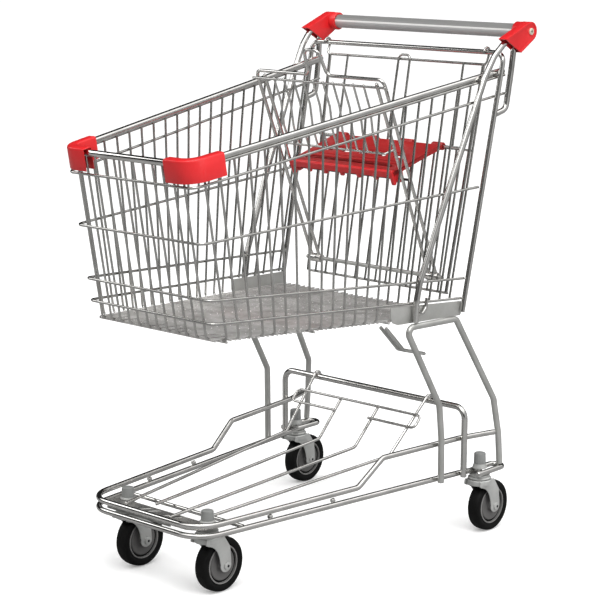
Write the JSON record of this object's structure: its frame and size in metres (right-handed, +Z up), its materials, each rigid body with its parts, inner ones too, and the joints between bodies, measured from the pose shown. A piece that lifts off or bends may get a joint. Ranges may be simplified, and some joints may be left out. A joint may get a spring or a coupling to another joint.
{
  "type": "shopping cart",
  "caption": "Supermarket shopping cart with a tapered wire basket, folding child seat in a swinging rear gate, hinged lower rack and swivel casters.",
  "frame": {"origin": "on the floor, below the middle of the cart's bounding box", "axes": "+Z up, -Y towards the nose, +Y towards the handle, +X towards the cart's left side"},
  "size_m": [0.5276, 0.8245, 0.9749],
  "materials": {
    "bright_chrome": "bright plated",
    "satin_steel": "satin plated",
    "zinc_steel": "zinc plated",
    "dark_steel": "dark",
    "red_plastic": "moulded, semi-gloss",
    "grey_plastic": "moulded",
    "handle_plastic": "satin tube",
    "hub_plastic": "moulded",
    "black_rubber": "matte",
    "brass": "polished"
  },
  "bodies": {
    "frame": {"upper_rail": "bright_chrome", "lower_rail": "bright_chrome", "front_cross_rod": "bright_chrome", "front_plate": "satin_steel", "rear_hoop": "bright_chrome", "leg_frame_left": "satin_steel", "leg_frame_right": "satin_steel", "front_post_left": "bright_chrome", "front_post_right": "bright_chrome", "rear_post_left": "bright_chrome", "rear_post_right": "bright_chrome", "gate_hoop": "bright_chrome", "side_plate_left": "zinc_steel", "side_plate_right": "zinc_steel", "nest_hook_left": "satin_steel", "nest_hook_right": "satin_steel", "handle_bar": "handle_plastic", "handle_bracket_left": "red_plastic", "handle_bracket_right": "red_plastic", "handle_screw_left": "brass", "handle_screw_right": "brass", "basket_rim": "bright_chrome", "basket_side_left": "bright_chrome", "basket_side_right": "bright_chrome", "basket_front": "bright_chrome", "basket_floor": "bright_chrome", "corner_bumper_left": "red_plastic", "corner_bumper_right": "red_plastic", "caster_stem_front_left": "zinc_steel", "caster_stem_front_right": "zinc_steel", "caster_stem_rear_left": "zinc_steel", "caster_stem_rear_right": "zinc_steel", "stem_cap_front_left": "grey_plastic", "stem_cap_front_right": "grey_plastic", "stem_cap_rear_left": "grey_plastic", "stem_cap_rear_right": "grey_plastic"},
    "gate": {"gate_panel": "bright_chrome", "seat_back_pivot_bar": "satin_steel", "seat_axle": "bright_chrome"},
    "seat_back": {"seat_back": "bright_chrome"},
    "seat": {"seat_plate": "red_plastic", "seat_front_rod": "dark_steel"},
    "rack": {"lower_rack": "bright_chrome"},
    "caster_front_left": {"caster_fork_front_left": "zinc_steel", "wheel_axle_front_left": "zinc_steel"},
    "caster_front_right": {"caster_fork_front_right": "zinc_steel", "wheel_axle_front_right": "zinc_steel"},
    "caster_rear_left": {"caster_fork_rear_left": "zinc_steel", "wheel_axle_rear_left": "zinc_steel"},
    "caster_rear_right": {"caster_fork_rear_right": "zinc_steel", "wheel_axle_rear_right": "zinc_steel"},
    "wheel_front_left": {"wheel_hub_front_left": "hub_plastic", "tyre_front_left": "black_rubber"},
    "wheel_front_right": {"wheel_hub_front_right": "hub_plastic", "tyre_front_right": "black_rubber"},
    "wheel_rear_left": {"wheel_hub_rear_left": "hub_plastic", "tyre_rear_left": "black_rubber"},
    "wheel_rear_right": {"wheel_hub_rear_right": "hub_plastic", "tyre_rear_right": "black_rubber"}
  },
  "joints": [
    {"name": "gate_swing", "type": "hinge", "parent": "frame", "child": "gate", "pos_m": [0, 0.333, 0.919], "axis": [-1, 0, 0], "range_deg": [0, 50]},
    {"name": "seat_back_fold", "type": "hinge", "parent": "gate", "child": "seat_back", "pos_m": [0, 0.24487, 0.49704], "axis": [-1, 0, 0], "range_deg": [0, 24]},
    {"name": "seat_plate_fold", "type": "hinge", "parent": "gate", "child": "seat", "pos_m": [0, 0.29017, 0.73985], "axis": [-1, 0, 0], "range_deg": [0, 108.5]},
    {"name": "rack_lift", "type": "hinge", "parent": "frame", "child": "rack", "pos_m": [0, 0.244, 0.2533], "axis": [-1, 0, 0], "range_deg": [0, 20]},
    {"name": "swivel_front_left", "type": "hinge", "parent": "frame", "child": "caster_front_left", "pos_m": [0.1017, -0.317, 0.108], "axis": [0, 0, 1], "continuous": true},
    {"name": "spin_front_left", "type": "hinge", "parent": "caster_front_left", "child": "wheel_front_left", "pos_m": [0.1017, -0.289, 0.05], "axis": [1, 0, 0], "continuous": true},
    {"name": "swivel_front_right", "type": "hinge", "parent": "frame", "child": "caster_front_right", "pos_m": [-0.1017, -0.317, 0.108], "axis": [0, 0, 1], "continuous": true},
    {"name": "spin_front_right", "type": "hinge", "parent": "caster_front_right", "child": "wheel_front_right", "pos_m": [-0.1017, -0.289, 0.05], "axis": [1, 0, 0], "continuous": true},
    {"name": "swivel_rear_left", "type": "hinge", "parent": "frame", "child": "caster_rear_left", "pos_m": [0.24, 0.284, 0.108], "axis": [0, 0, 1], "continuous": true},
    {"name": "spin_rear_left", "type": "hinge", "parent": "caster_rear_left", "child": "wheel_rear_left", "pos_m": [0.24, 0.312, 0.05], "axis": [1, 0, 0], "continuous": true},
    {"name": "swivel_rear_right", "type": "hinge", "parent": "frame", "child": "caster_rear_right", "pos_m": [-0.24, 0.284, 0.108], "axis": [0, 0, 1], "continuous": true},
    {"name": "spin_rear_right", "type": "hinge", "parent": "caster_rear_right", "child": "wheel_rear_right", "pos_m": [-0.24, 0.312, 0.05], "axis": [1, 0, 0], "continuous": true}
  ],
  "couplings": [
    {"joint": "seat_plate_fold", "follows": "seat_back_fold", "ratio": 4.5}
  ]
}
